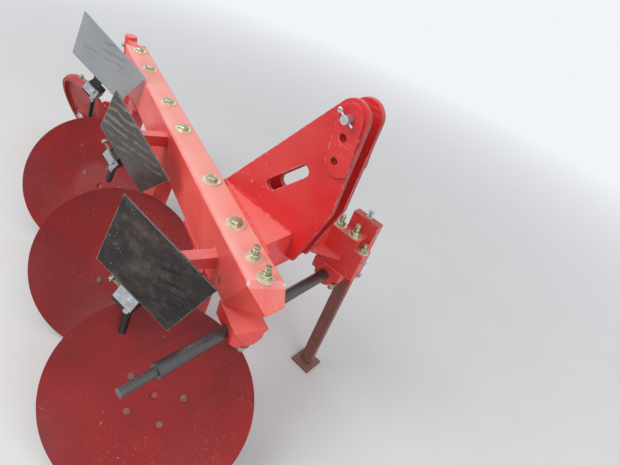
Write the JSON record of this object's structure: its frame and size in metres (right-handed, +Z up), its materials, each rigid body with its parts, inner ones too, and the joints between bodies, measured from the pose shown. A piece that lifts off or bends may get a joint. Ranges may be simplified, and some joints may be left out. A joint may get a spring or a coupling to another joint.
{
  "type": "disc plough",
  "caption": "Mounted disc plough with a slanting tube beam, dished discs on inclined bearings, scrapers, a three-point headstock, a parking stand and a rear furrow wheel.",
  "frame": {"origin": "on the ground, below the middle of the plough's bounding box", "axes": "+X is the direction of travel, +Y is left, +Z is up"},
  "size_m": [2.4445, 1.2259, 1.281],
  "materials": {
    "red_paint": "gloss",
    "disc_paint": "gloss",
    "scraper_paint": "gloss",
    "blue_steel": "satin",
    "black_bar": "gloss",
    "zinc_steel": "satin",
    "red_iron": "painted"
  },
  "bodies": {
    "frame": {"main_beam": "red_paint", "beam_end": "red_paint", "beam_nose": "red_paint", "nose_bearing": "red_paint", "nose_shield": "red_paint", "cross_shaft": "black_bar", "cross_arm": "red_paint", "headstock_plate": "red_paint", "mast_plate_right": "red_paint", "mast_plate_left": "red_paint", "top_link_pin": "zinc_steel", "bearing_carrier": "red_paint", "corner_rib": "red_paint", "left_bearing": "red_paint", "stand_socket": "red_paint", "furrow_bracket": "red_paint", "disc_column_1": "red_paint", "bearing_cap_1": "red_paint", "scraper_blade_1": "scraper_paint", "scraper_rod_1": "black_bar", "scraper_clamp_1": "black_bar", "scraper_plate_1": "zinc_steel", "scraper_bracket_1": "red_paint", "disc_column_2": "red_paint", "bearing_cap_2": "red_paint", "scraper_blade_2": "scraper_paint", "scraper_rod_2": "black_bar", "scraper_clamp_2": "black_bar", "scraper_plate_2": "zinc_steel", "scraper_bracket_2": "red_paint", "disc_column_3": "red_paint", "bearing_cap_3": "red_paint", "scraper_blade_3": "blue_steel", "scraper_rod_3": "black_bar", "scraper_clamp_3": "black_bar", "scraper_plate_3": "zinc_steel", "scraper_bracket_3": "red_paint"},
    "disc_1_turning": {"disc_1": "disc_paint", "disc_hub_1": "red_iron"},
    "disc_2_turning": {"disc_2": "disc_paint", "disc_hub_2": "red_iron"},
    "disc_3_turning": {"disc_3": "disc_paint", "disc_hub_3": "red_iron"},
    "stand": {"stand_leg": "red_paint"},
    "furrow_swivel_arm": {"furrow_arm": "red_paint"},
    "furrow_wheel_turning": {"furrow_wheel": "red_iron"}
  },
  "joints": [
    {"name": "disc_spin_1", "type": "hinge", "parent": "frame", "child": "disc_1_turning", "pos_m": [0.92819, -0.3642, 0.27032], "axis": [0.4698, -0.671, 0.5736], "continuous": true},
    {"name": "disc_spin_2", "type": "hinge", "parent": "frame", "child": "disc_2_turning", "pos_m": [0.35466, -0.13944, 0.27032], "axis": [0.4698, -0.671, 0.5736], "continuous": true},
    {"name": "disc_spin_3", "type": "hinge", "parent": "frame", "child": "disc_3_turning", "pos_m": [-0.21887, 0.08533, 0.27032], "axis": [0.4698, -0.671, 0.5736], "continuous": true},
    {"name": "stand_slide", "type": "slide", "parent": "frame", "child": "stand", "axis": [0, 0, 1], "range_m": [0, 0.3]},
    {"name": "furrow_swivel", "type": "hinge", "parent": "frame", "child": "furrow_swivel_arm", "pos_m": [-0.78222, 0.57998, 0.583], "axis": [0, 0, 1], "range_deg": [-20, 20]},
    {"name": "furrow_wheel_spin", "type": "hinge", "parent": "furrow_swivel_arm", "child": "furrow_wheel_turning", "pos_m": [-0.97222, 0.46998, 0.23766], "axis": [0, 0.9397, 0.342], "continuous": true}
  ]
}
